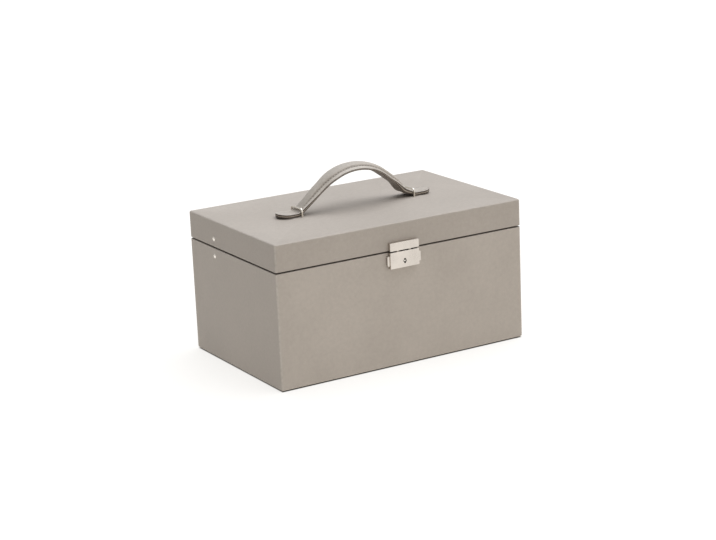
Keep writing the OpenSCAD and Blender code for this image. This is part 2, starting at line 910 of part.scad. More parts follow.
// Cam on the key pin: its arm stands up when open, and lies over the left prong's shoulder when locked
module lock_cam() {
    color(nickel) translate([0, cam_back, key_z]) rotate([90, 0, 0]) linear_extrude(cam_back - cam_front)
        difference() {
            union() {
                circle(r = cam_r);
                translate([-cam_arm_w / 2, 0]) square([cam_arm_w, cam_reach]);
            }
            circle(r = key_pin_r + run_clear);
            key_slots();
        }
}

// Lid boards
module lid_core() {
    translate([0, 0, lid_core_z]) linear_extrude(lid_top_z - lid_core_z) rounded_rect(core_w, core_d, core_r);
}

// Holes for the legs of the handle's loops
module loop_holes() {
    for (s = [-1, 1], k = [-1, 1])
        translate([s * loop_x, k * loop_w / 2, ceiling_z - over])
            cylinder(r = wire_r + loop_fit, h = case_h - ceiling_z + 2 * over);
}

module lid_top_board() {
    color(board) difference() {
        intersection() {
            lid_core();
            span([-case_w, -case_d, ceiling_z], [case_w, case_d, case_h]);
        }
        loop_holes();
    }
}

module lid_front_board() {
    color(board) difference() {
        intersection() {
            lid_core();
            span([-case_w, -case_d, 0], [case_w, -inner_d / 2, ceiling_z]);
        }
        hasp_screw_set(screw_fit);
    }
}

module lid_back_board() {
    color(board) difference() {
        intersection() {
            lid_core();
            span([-case_w, inner_d / 2, 0], [case_w, case_d, ceiling_z]);
        }
        hinge_cuts();
        translate([0, 0, rim_lid]) mirror([0, 0, 1]) hinge_screws(screw_fit);
    }
}

module lid_left_board() {
    color(board) mirror([1, 0, 0]) side_board(lid_core_z, ceiling_z);
}

module lid_right_board() {
    color(board) side_board(lid_core_z, ceiling_z);
}

// Leather of the lid, folded over its rim
module lid_cover() {
    color(leather) difference() {
        translate([0, 0, rim_lid]) soft_block(case_w, case_d, case_h - rim_lid, corner_r, edge_r, rim_r);
        lid_core();
        span([-inner_w / 2, -inner_d / 2, 0], [inner_w / 2, inner_d / 2, ceiling_z]);
        stay_holes();
        hinge_cuts();
        loop_holes();
        hasp_screw_set(screw_fit);
    }
}

module lid_ceiling_lining() {
    color(suede) span([-inner_w / 2, -inner_d / 2, lid_ceiling], [inner_w / 2, inner_d / 2, ceiling_z]);
}

module lid_wall_lining() {
    color(suede) lining_panels(rim_lid + lining_drop, lid_ceiling);
}

// Frame with a lip over the edge of the glass
module mirror_frame() {
    sight_w = frame_out_w - 2 * frame_w;
    sight_d = frame_out_d - 2 * frame_w;
    color(leather) difference() {
        translate([0, 0, lid_ceiling - frame_t])
            soft_block(frame_out_w, frame_out_d, frame_t, frame_r, frame_ease, frame_lip / 2);
        span([-sight_w / 2, -sight_d / 2, 0], [sight_w / 2, sight_d / 2, case_h]);
        span([-sight_w / 2 - frame_lip - glass_fit, -sight_d / 2 - frame_lip - glass_fit,
                lid_ceiling - glass_t],
            [sight_w / 2 + frame_lip + glass_fit, sight_d / 2 + frame_lip + glass_fit, case_h]);
    }
}

module mirror_glass() {
    half_w = frame_out_w / 2 - frame_w + frame_lip;
    half_d = frame_out_d / 2 - frame_w + frame_lip;
    color(silvered) span([-half_w, -half_d, lid_ceiling - glass_t], [half_w, half_d, lid_ceiling]);
}

// Hasp: plate on the lid with two prongs, each with a catch lug and a hollow for the cam's arm
module hasp_plate() {
    color(nickel) difference() {
        union() {
            translate([0, front_y, hasp_screw_z]) rotate([90, 0, 0])
                linear_extrude(lock_proud) rounded_rect(lock_w, hasp_h, lock_corner_r);
            for (s = [0, 1]) mirror([s, 0, 0]) {
                span([prong_in, prong_front, hook_top - hook_t], [prong_out, prong_back, rim_lid + over]);
                span([lug_in, prong_front, lug_low], [prong_in, prong_back, lug_low + lug_t]);
            }
        }
        intersection() {
            translate([0, front_y, key_z]) rotate([90, 0, 0]) cylinder(r = cam_sweep, h = 2 * lock_proud);
            span([-lock_w, lock_front, hook_top], [lock_w, front_y, rim_lid]);
        }
        hasp_screw_set(screw_fit);
    }
}

module hasp_screws() {
    color(nickel) hasp_screw_set(0);
}

// Wire loop over the strap, with its legs through the lid
module handle_loop(s) {
    half = loop_w / 2;
    color(nickel) translate([s * loop_x, 0, 0]) {
        for (k = [0, 1]) mirror([0, k, 0]) {
            translate([0, half, ceiling_z]) cylinder(r = wire_r, h = bar_z - loop_bend_r - ceiling_z);
            translate([0, half - loop_bend_r, bar_z - loop_bend_r]) rotate([90, 0, 90])
                rotate_extrude(angle = 90) translate([loop_bend_r, 0]) circle(r = wire_r);
        }
        translate([0, half - loop_bend_r, bar_z]) rotate([90, 0, 0])
            cylinder(r = wire_r, h = 2 * (half - loop_bend_r));
    }
}

module handle_loop_left() {
    handle_loop(-1);
}

module handle_loop_right() {
    handle_loop(1);
}

// Smooth step from 0 to 1
function eased(t) = t * t * (3 - 2 * t);

// Half of the strap's width at a distance from the middle of the handle
function half_width(x) = strap_half_w + (strap_mid_w - strap_w) / 2
    * eased(max(0, min(1, (loop_x - shoulder_in + shoulder_run - x) / (2 * shoulder_run))));

// Right half of the strap's underside: crown arc, leg, foot bend and flat tip. Each station has its place,
// its slope and half the strap's width
arch_half = concat(
    [for (i = [0:crown_steps]) let (a = leg_angle * i / crown_steps)
        [crown_r * sin(a), strap_top - crown_r * (1 - cos(a)), a]],
    [for (i = [1:leg_steps - 1]) let (l = leg_l * (1 - i / leg_steps))
        [leg_run - l * cos(leg_angle), foot_rise + l * sin(leg_angle), leg_angle]],
    [for (i = [foot_steps:-1:0]) let (a = leg_angle * i / foot_steps)
        [land_x - foot_r * sin(a), foot_r * (1 - cos(a)), a]]);
tip_half = [for (i = [0:tip_steps]) let (a = (tip_turn + tip_flare) * i / tip_steps - tip_flare)
    [tip_x + tip_r * sin(a), 0, 0, tip_r * cos(a)]];
strap_half = concat([for (s = arch_half) concat(s, half_width(s[0]))], tip_half);
strap_last = len(strap_half) - 1;
strap_line = concat(
    [for (i = [strap_last:-1:1]) let (s = strap_half[i]) [-s[0], s[1], -s[2], s[3]]],
    strap_half);

// Share of the stuffing at a distance from the middle of the handle
function fill_share(x) = eased(max(0, min(1, (leg_run - fill_in + fill_run - abs(x)) / (2 * fill_run))));

// Section of the strap across its width: flat below, thin margins, and a stuffed roll between the stitches
function strap_section(half, share) = let (
        edge = tip_t + (strap_edge - tip_t) * share,
        seam = half * (1 - margin_w / strap_half_w))
    concat([[-half, 0], [half, 0], [half, edge]],
        [for (k = [0:fill_steps]) let (a = 180 * k / fill_steps)
            [seam * cos(a), edge + share * (margin_rise + fill_h * sin(a))]],
        [[-half, edge]]);

function strap_ring(s) = [for (p = strap_section(s[3], fill_share(s[0])))
    [s[0] + p[1] * sin(s[2]), p[0], s[1] + p[1] * cos(s[2])]];

// Strap with rounded tips that are wider than its loops
module handle_strap() {
    color(leather) translate([0, 0, strap_z]) skin([for (s = strap_line) strap_ring(s)]);
}

// Sliding tray: a box with finger cuts in its two end walls
module tray_shell() {
    color(suede) difference() {
        translate([tray_mid, 0, tray_z]) linear_extrude(tray_h) rounded_rect(tray_w, tray_d, tray_r);
        translate([tray_mid, 0, 0])
            span([-tray_in_w / 2, -tray_in_d / 2, tray_floor], [tray_in_w / 2, tray_in_d / 2, case_h]);
        translate([tray_left - over, 0, tray_z + tray_h]) rotate([0, 90, 0])
            cylinder(r = tray_finger_r, h = tray_w + 2 * over);
    }
}

module tray_divider_long() {
    half = tray_in_w / 2 - tray_fit;
    color(suede) translate([tray_mid, tray_divider_y, tray_floor])
        span([-half, 0, 0], [half, tray_divider_t, tray_divider_h]);
}

module tray_divider_cross() {
    low = tray_divider_y + tray_divider_t + tray_fit;
    color(suede) translate([tray_mid, 0, tray_floor])
        span([-tray_divider_t / 2, low, 0], [tray_divider_t / 2, tray_in_d / 2 - tray_fit, tray_divider_h]);
}

// Stuffed roll lying along X, drawn in at its ends
module ring_roll() {
    rotate([0, 90, 0]) rotate_extrude() translate([0, -roll_len / 2]) difference() {
        square([roll_r, roll_len]);
        translate([roll_r, 0]) mirror([1, 0]) corner_bite(roll_end_r);
        translate([roll_r, roll_len]) rotate(180) corner_bite(roll_end_r);
    }
}

module ring_rolls() {
    first = tray_front + roll_gap + roll_r;
    color(suede) for (i = [0:roll_count - 1])
        translate([tray_mid, first + i * roll_pitch, tray_floor + roll_r + roll_seat]) ring_roll();
}

bottom_board();
front_board();
back_board();
left_board();
right_board();
case_cover();
base_pad();
floor_lining();
wall_lining();
rail_front();
rail_back();
divider_long();
cross_divider_left();
cross_divider_right();
hinge_leaf_base_left();
hinge_leaf_base_right();
hinge_pin_left();
hinge_pin_right();
hinge_screws_base();
base_stay_rivets();
lock_case();
lock_back_plate();
lock_screws();
latch_button_left();
latch_button_right();
latch_slide_left();
latch_slide_right();
latch_spring_left();
latch_spring_right();
lock_cam();
lid_top_board();
lid_front_board();
lid_back_board();
lid_left_board();
lid_right_board();
lid_cover();
lid_ceiling_lining();
lid_wall_lining();
mirror_frame();
mirror_glass();  // mirror
hinge_leaf_lid_left();
hinge_leaf_lid_right();
hinge_screws_lid();
lid_stay_rivets();
hasp_plate();
hasp_screws();
handle_loop_left();
handle_loop_right();
handle_strap();
stay_arm_left();
stay_arm_right();
tray_shell();
tray_divider_long();
tray_divider_cross();
ring_rolls();
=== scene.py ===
import json
import math

import bpy
from mathutils import Matrix, Vector

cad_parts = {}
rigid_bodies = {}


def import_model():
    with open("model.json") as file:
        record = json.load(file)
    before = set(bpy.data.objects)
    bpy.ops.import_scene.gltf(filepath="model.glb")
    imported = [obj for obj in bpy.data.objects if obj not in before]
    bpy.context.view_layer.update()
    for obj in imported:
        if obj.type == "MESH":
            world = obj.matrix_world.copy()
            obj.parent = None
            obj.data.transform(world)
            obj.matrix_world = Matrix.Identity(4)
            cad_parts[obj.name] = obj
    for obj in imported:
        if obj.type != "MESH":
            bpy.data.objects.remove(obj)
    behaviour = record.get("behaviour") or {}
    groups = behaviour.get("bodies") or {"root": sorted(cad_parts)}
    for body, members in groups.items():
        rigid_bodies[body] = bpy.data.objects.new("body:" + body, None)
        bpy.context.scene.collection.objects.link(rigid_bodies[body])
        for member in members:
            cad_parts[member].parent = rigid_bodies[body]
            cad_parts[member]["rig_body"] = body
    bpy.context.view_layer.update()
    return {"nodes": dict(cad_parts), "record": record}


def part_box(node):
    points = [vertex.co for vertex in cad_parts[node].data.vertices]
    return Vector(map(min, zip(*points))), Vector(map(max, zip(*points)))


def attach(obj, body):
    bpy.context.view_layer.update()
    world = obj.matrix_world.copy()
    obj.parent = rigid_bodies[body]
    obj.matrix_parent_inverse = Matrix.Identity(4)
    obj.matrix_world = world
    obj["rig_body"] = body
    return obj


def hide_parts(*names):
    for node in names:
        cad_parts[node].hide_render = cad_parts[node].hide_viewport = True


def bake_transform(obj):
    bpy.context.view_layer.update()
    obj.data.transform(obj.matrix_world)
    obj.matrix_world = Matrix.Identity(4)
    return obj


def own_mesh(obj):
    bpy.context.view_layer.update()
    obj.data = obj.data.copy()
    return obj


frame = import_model()
nodes = frame["nodes"]
slotOf = {part["node"]: part["material_slot"] for part in frame["record"]["subparts"]}
mm = 0.001
touch = 0.01 * mm  # places nearer than this count as one
print("frame loaded:", len(nodes), "nodes")


# Selecting and shaping
def makeActive(piece):
    if bpy.context.mode != "OBJECT":
        bpy.ops.object.mode_set(mode="OBJECT")
    bpy.ops.object.select_all(action="DESELECT")
    if piece:
        piece.select_set(True)
        bpy.context.view_layer.objects.active = piece


def addBlock(name, low, high):
    makeActive(None)
    low, high = Vector(low), Vector(high)
    bpy.ops.mesh.primitive_cube_add(size=1, location=(low + high) / 2)
    block = bpy.context.object
    block.name = block.data.name = name
    block.scale = high - low
    bpy.ops.object.transform_apply(location=True, rotation=True, scale=True)
    return block


def addRod(name, start, end, radius, sides=32):
    makeActive(None)
    start, end = Vector(start), Vector(end)
    along = end - start
    bpy.ops.mesh.primitive_cylinder_add(vertices=sides, radius=radius, depth=along.length)
    rod = bpy.context.object
    rod.name = rod.data.name = name
    turn = along.to_track_quat("Z", "Y").to_matrix().to_4x4()
    rod.matrix_world = Matrix.Translation((start + end) / 2) @ turn
    bpy.ops.object.transform_apply(location=True, rotation=True, scale=True)
    return rod


def bevelEdges(piece, test, radius, segments):
    # rounds the edges whose two ends pass the test
    makeActive(piece)
    bpy.ops.object.mode_set(mode="EDIT")
    bpy.ops.mesh.select_mode(type="EDGE")
    bpy.ops.mesh.select_all(action="DESELECT")
    bpy.ops.object.mode_set(mode="OBJECT")
    points = piece.data.vertices
    for edge in piece.data.edges:
        edge.select = bool(test(*[points[i].co for i in edge.vertices]))
    bpy.ops.object.mode_set(mode="EDIT")
    bpy.ops.mesh.bevel(offset=radius, segments=segments, affect="EDGES", clamp_overlap=False)
    bpy.ops.object.mode_set(mode="OBJECT")


def applyModifier(piece, kind, **settings):
    makeActive(piece)
    modifier = piece.modifiers.new(kind.lower(), kind)
    for key, value in settings.items():
        setattr(modifier, key, value)
    bpy.ops.object.modifier_apply(modifier=modifier.name)


def cutAway(piece, *cutters):
    for cutter in cutters:
        applyModifier(piece, "BOOLEAN", object=cutter, operation="DIFFERENCE", solver="EXACT")
        bpy.data.objects.remove(cutter)


def smoothShade(piece, angle=35, flatFaces=True):
    # flatFaces keeps a large face's shading flat beside its rounded edges
    makeActive(piece)
    bpy.ops.object.shade_smooth_by_angle(angle=math.radians(angle))
    if flatFaces:
        applyModifier(piece, "WEIGHTED_NORMAL", keep_sharp=True)


def settle(piece, material, body, slot, *replaced):
    piece.data.materials.clear()
    piece.data.materials.append(material)
    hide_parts(*replaced)
    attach(piece, body)


# Materials
def startMaterial(name, **sockets):
    material = bpy.data.materials.new(name)
    material.use_nodes = True
    tree = material.node_tree
    shader = tree.nodes["Principled BSDF"]
    for socket, value in sockets.items():
        shader.inputs[socket.replace("_", " ")].default_value = value
    return material, tree, shader


def addNode(tree, kind, sockets=None, **settings):
    node = tree.nodes.new("ShaderNode" + kind)
    for key, value in settings.items():
        setattr(node, key, value)
    for socket, value in (sockets or {}).items():
        if isinstance(value, bpy.types.NodeSocket):
            tree.links.new(value, node.inputs[socket])
        else:
            node.inputs[socket].default_value = value
    return node


def objectPlace(tree, stretch=(1, 1, 1)):
    where = addNode(tree, "TexCoord").outputs["Object"]
    return addNode(tree, "Mapping", {"Vector": where, "Scale": stretch}).outputs["Vector"]


def noiseOf(tree, where, scale, detail=3, rough=0.55):
    sockets = {"Vector": where, "Scale": scale, "Detail": detail, "Roughness": rough}
    return addNode(tree, "TexNoise", sockets).outputs["Fac"]


def spread(tree, value, low, high, fromLow=0.3, fromHigh=0.7):
    sockets = {"Value": value, "From Min": fromLow, "From Max": fromHigh, "To Min": low, "To Max": high}
    return addNode(tree, "MapRange", sockets).outputs["Result"]


def mixColor(tree, share, first, second, way="MIX"):
    # the node's colour sockets are 6 and 7, and its colour comes out at 2
    node = addNode(tree, "Mix", data_type="RGBA", blend_type=way)
    for socket, value in ((0, share), (6, first), (7, second)):
        if isinstance(value, bpy.types.NodeSocket):
            tree.links.new(value, node.inputs[socket])
        else:
            node.inputs[socket].default_value = value
    return node.outputs[2]


def mathOf(tree, way, *values):
    return addNode(tree, "Math", dict(enumerate(values)), operation=way).outputs[0]


def addUp(tree, *shares):
    total = None
    for value, weight in shares:
        part = mathOf(tree, "MULTIPLY", value, weight)
        total = part if total is None else mathOf(tree, "ADD", total, part)
    return total


def bumpInto(tree, shader, height, strength, distance):
    sockets = {"Height": height, "Strength": strength, "Distance": distance}
    tree.links.new(addNode(tree, "Bump", sockets).outputs["Normal"], shader.inputs["Normal"])


def rgb(red, green, blue):
    # screen colour to the shader's linear colour
    shares = (part / 255 for part in (red, green, blue))
    return tuple(((c + 0.055) / 1.055) ** 2.4 if c > 0.04 else c / 12.92 for c in shares) + (1,)


# Leather: scales of its pebbles, creases, hide tones and flecks, the depth of its grain, and how much
# rubbed edges are lightened as wear and painted highlight
leatherSet = dict(pebbles=820, creases=2400, creaseShare=0.35, hide=16, hideSpan=(0.32, 0.68), fleck=300,
                  fleckSpan=(0.34, 0.66), tone=0.99, rubHighlight=1.1, matt=(0.46, 0.62), grain=0.35,
                  grainDepth=0.3 * mm)


def leatherMaterial(name, dark, light, wornHighlight, mottle=0.06, shadePaint=rgb(60, 46, 36)):
    material, tree, shader = startMaterial(name, Specular_IOR_Level=0.4, Sheen_Weight=0.06,
                                           Sheen_Roughness=0.5)
    where, tone = objectPlace(tree), leatherSet["tone"]
    sockets = {"Vector": where, "Scale": leatherSet["pebbles"], "Randomness": 1}
    pebbles = addNode(tree, "TexVoronoi", sockets, feature="SMOOTH_F1").outputs["Distance"]
    creases = noiseOf(tree, where, leatherSet["creases"], 4)
    hide = noiseOf(tree, where, leatherSet["hide"], 4)
    fleck = noiseOf(tree, where, leatherSet["fleck"], 3)
    colour = mixColor(tree, spread(tree, hide, 0, 1, *leatherSet["hideSpan"]), dark, light)
    grain = addUp(tree, (fleck, 0.5), (creases, 0.5))
    shade = spread(tree, grain, tone - mottle, tone + mottle, *leatherSet["fleckSpan"])
    grey = addNode(tree, "CombineColor", {"Red": shade, "Green": shade, "Blue": shade}).outputs["Color"]
    colour = mixColor(tree, 1, colour, grey, "MULTIPLY")
    # edge mark: lightens edges towards the lighter tone, partly wear and partly a painted highlight
    edge = addNode(tree, "Attribute", attribute_name="edgeWearHighlight").outputs["Fac"]
    rubbedHighlight = addUp(tree, (mathOf(tree, "MULTIPLY", edge, fleck), leatherSet["rubHighlight"]))
    colour = mixColor(tree, rubbedHighlight, colour, wornHighlight)
    # painted shade: darkens the seam line, the lid's walls and the stitch groove towards the shade colour
    shaded = addNode(tree, "Attribute", attribute_name="paintedShade").outputs["Fac"]
    colour = mixColor(tree, shaded, colour, shadePaint)
    tree.links.new(colour, shader.inputs["Base Color"])
    rough = spread(tree, addUp(tree, (hide, 0.4), (creases, 0.6)), *leatherSet["matt"])
    tree.links.new(rough, shader.inputs["Roughness"])
    relief = addUp(tree, (pebbles, 1.0), (creases, leatherSet["creaseShare"]))
    bumpInto(tree, shader, relief, leatherSet["grain"], leatherSet["grainDepth"])
    return material


# Metal: scales of its brushing and clouding, the darker tone, and the spread of its roughness
metalSet = dict(brush=900, cloud=60, darker=0.86, smoothest=0.75, roughest=1.3, depth=0.05 * mm)


def metalMaterial(name, colour, rough, streak, stretch):
    material, tree, shader = startMaterial(name, Metallic=1)
    brushed = noiseOf(tree, objectPlace(tree, stretch), metalSet["brush"], 3)
    cloud = noiseOf(tree, objectPlace(tree), metalSet["cloud"], 3)
    darker = tuple(c * metalSet["darker"] for c in colour[:3]) + (1,)
    tree.links.new(mixColor(tree, spread(tree, cloud, 0, 1), darker, colour), shader.inputs["Base Color"])
    mixed = addUp(tree, (brushed, 0.6), (cloud, 0.4))
    matt = spread(tree, mixed, rough * metalSet["smoothest"], rough * metalSet["roughest"])
    tree.links.new(matt, shader.inputs["Roughness"])
    bumpInto(tree, shader, brushed, streak, metalSet["depth"])
    return material


# Suede and felt: brushed marks, and the fibres' roughness and relief
napSet = dict(marks=38, markStretch=(1, 0.45, 0.7), matt=(0.82, 1), relief=0.5, depth=0.35 * mm)


def napMaterial(name, dark, light, napScale, sheen):
    material, tree, shader = startMaterial(name, Specular_IOR_Level=0.15, Sheen_Weight=sheen,
                                           Sheen_Roughness=0.4)
    marks = noiseOf(tree, objectPlace(tree, napSet["markStretch"]), napSet["marks"], 4, 0.65)
    fibres = noiseOf(tree, objectPlace(tree), napScale, 5, 0.7)
    share = addUp(tree, (spread(tree, marks, 0, 1), 0.55), (spread(tree, fibres, 0, 1), 0.45))
    tree.links.new(mixColor(tree, share, dark, light), shader.inputs["Base Color"])
    tree.links.new(spread(tree, fibres, *napSet["matt"]), shader.inputs["Roughness"])
    bumpInto(tree, shader, addUp(tree, (fibres, 0.8), (marks, 0.4)), napSet["relief"], napSet["depth"])
    return material


# Fibre board: pressed chips and a slow clouding
boardSet = dict(chips=700, chipStretch=(0.5, 0.5, 1.4), cloud=45, span=(0.35, 0.65), matt=(0.75, 0.95),
                relief=0.3, depth=0.2 * mm)


def boardMaterial(name, dark, light):
    material, tree, shader = startMaterial(name, Specular_IOR_Level=0.2)
    chips = noiseOf(tree, objectPlace(tree, boardSet["chipStretch"]), boardSet["chips"], 5, 0.7)
    cloud = noiseOf(tree, objectPlace(tree), boardSet["cloud"], 3)
    share = spread(tree, addUp(tree, (chips, 0.7), (cloud, 0.3)), 0, 1, *boardSet["span"])
    tree.links.new(mixColor(tree, share, dark, light), shader.inputs["Base Color"])
    tree.links.new(spread(tree, chips, *boardSet["matt"]), shader.inputs["Roughness"])
    bumpInto(tree, shader, chips, boardSet["relief"], boardSet["depth"])
    return material


# Mirror silver: a faint haze
silverSet = dict(haze=30, dark=rgb(226, 232, 232), light=rgb(238, 242, 241), matt=(0.01, 0.035))


def silverMaterial(name):
    material, tree, shader = startMaterial(name, Metallic=1)
    haze = noiseOf(tree, objectPlace(tree), silverSet["haze"], 4)
    tint = mixColor(tree, spread(tree, haze, 0, 1), silverSet["dark"], silverSet["light"])
    tree.links.new(tint, shader.inputs["Base Color"])
    tree.links.new(spread(tree, haze, *silverSet["matt"]), shader.inputs["Roughness"])
    return material


# Sewing thread: its twist
threadSet = dict(twist=900, unevenness=2, matt=(0.5, 0.7), relief=0.4, depth=0.1 * mm)


def threadMaterial(name, dark, light):
    material, tree, shader = startMaterial(name, Specular_IOR_Level=0.35, Sheen_Weight=0.3)
    sockets = {"Vector": objectPlace(tree), "Scale": threadSet["twist"],
               "Distortion": threadSet["unevenness"], "Detail": 2}
    twist = addNode(tree, "TexWave", sockets, bands_direction="DIAGONAL").outputs["Fac"]
    tree.links.new(mixColor(tree, twist, dark, light), shader.inputs["Base Color"])
    tree.links.new(spread(tree, twist, *threadSet["matt"]), shader.inputs["Roughness"])
    bumpInto(tree, shader, twist, threadSet["relief"], threadSet["depth"])
    return material


coverLeather = leatherMaterial("cover_leather", rgb(169, 159, 148), rgb(175, 165, 154),
                               rgb(203, 195, 185))
strapLeather = leatherMaterial("strap_leather", rgb(172, 163, 152), rgb(181, 172, 161), rgb(203, 195, 184),
                               mottle=0.13)
# darker backing colour: painted shade on the strap's underside
strapBackingShade = leatherMaterial("strap_backing_shade", rgb(112, 102, 92), rgb(122, 112, 102), rgb(130, 120, 110))
strapCore = leatherMaterial("strap_core", rgb(178, 166, 151), rgb(192, 180, 165), rgb(198, 188, 174))
edgeDye = leatherMaterial("edge_dye", rgb(78, 69, 61), rgb(92, 82, 73), rgb(104, 94, 84))
strapThread = threadMaterial("strap_thread", rgb(168, 158, 146), rgb(200, 191, 179))
satinNickel = metalMaterial("satin_nickel", rgb(217, 209, 200), rough=0.3, streak=0.12,
                            stretch=(0.15, 1, 1))
wireNickel = metalMaterial("wire_nickel", rgb(236, 230, 220), rough=0.18, streak=0.05,
                           stretch=(1, 1, 1))
lockSteel = metalMaterial("lock_steel", rgb(96, 90, 84), rough=0.42, streak=0.2,
                          stretch=(1, 1, 0.2))
# dark steel for the lock's back plate and cam: painted shade behind the keyhole
keyholeShadeSteel = metalMaterial("keyhole_shade_steel", rgb(40, 36, 33), rough=0.5, streak=0.2,
                           stretch=(1, 1, 0.2))
liningSuede = napMaterial("lining_suede", rgb(160, 149, 137), rgb(186, 175, 163), napScale=1500, sheen=0.5)
rollSuede = napMaterial("roll_suede", rgb(168, 157, 145), rgb(196, 186, 174), napScale=1500, sheen=0.6)
baseFelt = napMaterial("base_felt", rgb(42, 38, 35), rgb(62, 57, 53), napScale=1100, sheen=0.2)
fibreBoard = boardMaterial("fibre_board", rgb(150, 120, 84), rgb(186, 156, 114))
mirrorSilver = silverMaterial("mirror_silver")
print("materials made:", len(bpy.data.materials))


# Camera at the photograph's angle
viewSet = dict(turn=-30.744, rise=15.328, roll=-2.419, away=2258.4 * mm, aside=12.86 * mm, above=12.86 * mm,
               middle=81.45 * mm, lens=98.255, shiftX=-0.01415, shiftY=-0.00846)


def placeCamera():
    turn, rise, roll = (math.radians(viewSet[key]) for key in ("turn", "rise", "roll"))
    back = Vector((math.sin(turn) * math.cos(rise), -math.cos(turn) * math.cos(rise), math.sin(rise)))
    level = back.cross(Vector((0, 0, -1))).normalized()
    upright = back.cross(level)
    right = level * math.cos(roll) + upright * math.sin(roll)
    up = upright * math.cos(roll) - level * math.sin(roll)
    aim = Vector((0, 0, viewSet["middle"])) + right * viewSet["aside"] + up * viewSet["above"]
    makeActive(None)
    bpy.ops.object.camera_add(location=aim + back * viewSet["away"])
    camera = bpy.context.object
    camera.rotation_euler = Matrix((right, up, back)).transposed().to_euler()
    camera.data.lens = viewSet["lens"]
    camera.data.shift_x = viewSet["shiftX"]
    camera.data.shift_y = viewSet["shiftY"]
    bpy.context.scene.camera = camera


placeCamera()
print("camera placed")


# Leather covers
# Edge lightening is partly wear and partly painted highlight; the rim and lid darkening is painted shade at
# the seam and on the lid's walls
coverSet = dict(corner=2.5 * mm, cornerSteps=6, edge=1.8 * mm, edgeSteps=5, rim=0.9 * mm, rimSteps=4,
                lip=0.85 * mm, turnIn=12 * mm, fit=0.15 * mm, wearHighlightGain=1.35, wearHighlightLevel=0.3, rimShade=0.5,
                shadeDepth=0.35 * mm, lidShade=0.1, stayHole=1.65 * mm, hingeRoom=0.3 * mm, loopRoom=1.1)


def addWearHighlightAndShade(piece, low, high, topRadius, lowRadius, rim, wallShade=0):
    # lightens the rounded edges as wear and painted highlight, and darkens the rim line and the lid's walls
    # with painted shade
    wearHighlight = piece.data.attributes.new("edgeWearHighlight", "FLOAT", "POINT")
    shadePaint = piece.data.attributes.new("paintedShade", "FLOAT", "POINT")
    corner = coverSet["corner"]

    def rounding(first, second, radius):
        return max(0, min(1, coverSet["wearHighlightGain"] * min(radius - first, radius - second) / radius))

    for point, value, shaded in zip(piece.data.vertices, wearHighlight.data, shadePaint.data):
        sideX, sideY, foot = (min(point.co[i] - low[i], high[i] - point.co[i]) for i in range(3))
        radius = topRadius if point.co.z > (low.z + high.z) / 2 else lowRadius
        level = max(rounding(sideX, foot, radius), rounding(sideY, foot, radius))
        value.value = max(rounding(sideX, sideY, corner), coverSet["wearHighlightLevel"] * level)
        # painted shade in the seam between lid and case
        if abs(point.co.z - rim) < coverSet["shadeDepth"]:
            shaded.value = coverSet["rimShade"]
        # painted shade on the lid's walls, which take less light than the case walls
        elif high.z - point.co.z > topRadius / 2:
            shaded.value = wallShade


def roundedBlock(name, low, high, top, foot):
    # top and foot name the rounding of the two levels, rim or edge
    block = addBlock(name, low, high)
    bevelEdges(block, lambda a, b: abs(a.z - b.z) > touch, coverSet["corner"], coverSet["cornerSteps"])
    bevelEdges(block, lambda a, b: min(a.z, b.z) > high.z - touch, coverSet[top], coverSet[top + "Steps"])
    bevelEdges(block, lambda a, b: max(a.z, b.z) < low.z + touch, coverSet[foot], coverSet[foot + "Steps"])
    return block


def stayRods(node):
    low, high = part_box(node)
    middle = (low + high) / 2
    start, end = (low.x - mm, middle.y, middle.z), (high.x + mm, middle.y, middle.z)
    return addRod("stay_hole", start, end, coverSet["stayHole"])


def hingeBlocks():
    room = Vector((coverSet["hingeRoom"], coverSet["hingeRoom"], 0))
    for side in ("left", "right"):
        lowBase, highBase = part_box("hinge_leaf_base_" + side)
        lowLid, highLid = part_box("hinge_leaf_lid_" + side)
        low = Vector(map(min, lowBase, lowLid)) - room
        high = Vector(map(max, highBase, highLid)) + room
        yield addBlock("hinge_cut", low, high)


def caseCover():
    low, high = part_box("case_cover")
    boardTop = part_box("front_board")[1].z
    liningLow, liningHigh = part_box("wall_lining")
    lockLow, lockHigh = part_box("lock_case")
    skin, fit = high.z - boardTop, coverSet["fit"]
    cover = roundedBlock("case_cover_leather", low, high, "rim", "edge")
    lip = Vector((coverSet["lip"], coverSet["lip"], 0))
    under = Vector((coverSet["turnIn"], coverSet["turnIn"], 0))
    coreHigh = Vector((high.x - skin, high.y - skin, boardTop))
    core = addBlock("core", low + Vector((skin, skin, skin)), coreHigh)
    mouthLow = Vector((liningLow.x, liningLow.y, boardTop - mm)) + lip
    mouth = addBlock("mouth", mouthLow, Vector((liningHigh.x, liningHigh.y, high.z + mm)) - lip)
    bottomHigh = Vector((high.x, high.y, low.z + 2 * skin)) - under
    bottom = addBlock("bottom", low + under - Vector((0, 0, mm)), bottomHigh)
    pocketHigh = Vector((lockHigh.x + fit, lockHigh.y, high.z + mm))
    pocket = addBlock("pocket", lockLow - Vector((fit, mm, fit)), pocketHigh)
    cutAway(cover, core, mouth, bottom, pocket, stayRods("base_stay_rivets"), *hingeBlocks())
    addWearHighlightAndShade(cover, low, high, coverSet["rim"], coverSet["edge"], high.z)
    smoothShade(cover)
    settle(cover, coverLeather, "case", "leather", "case_cover")


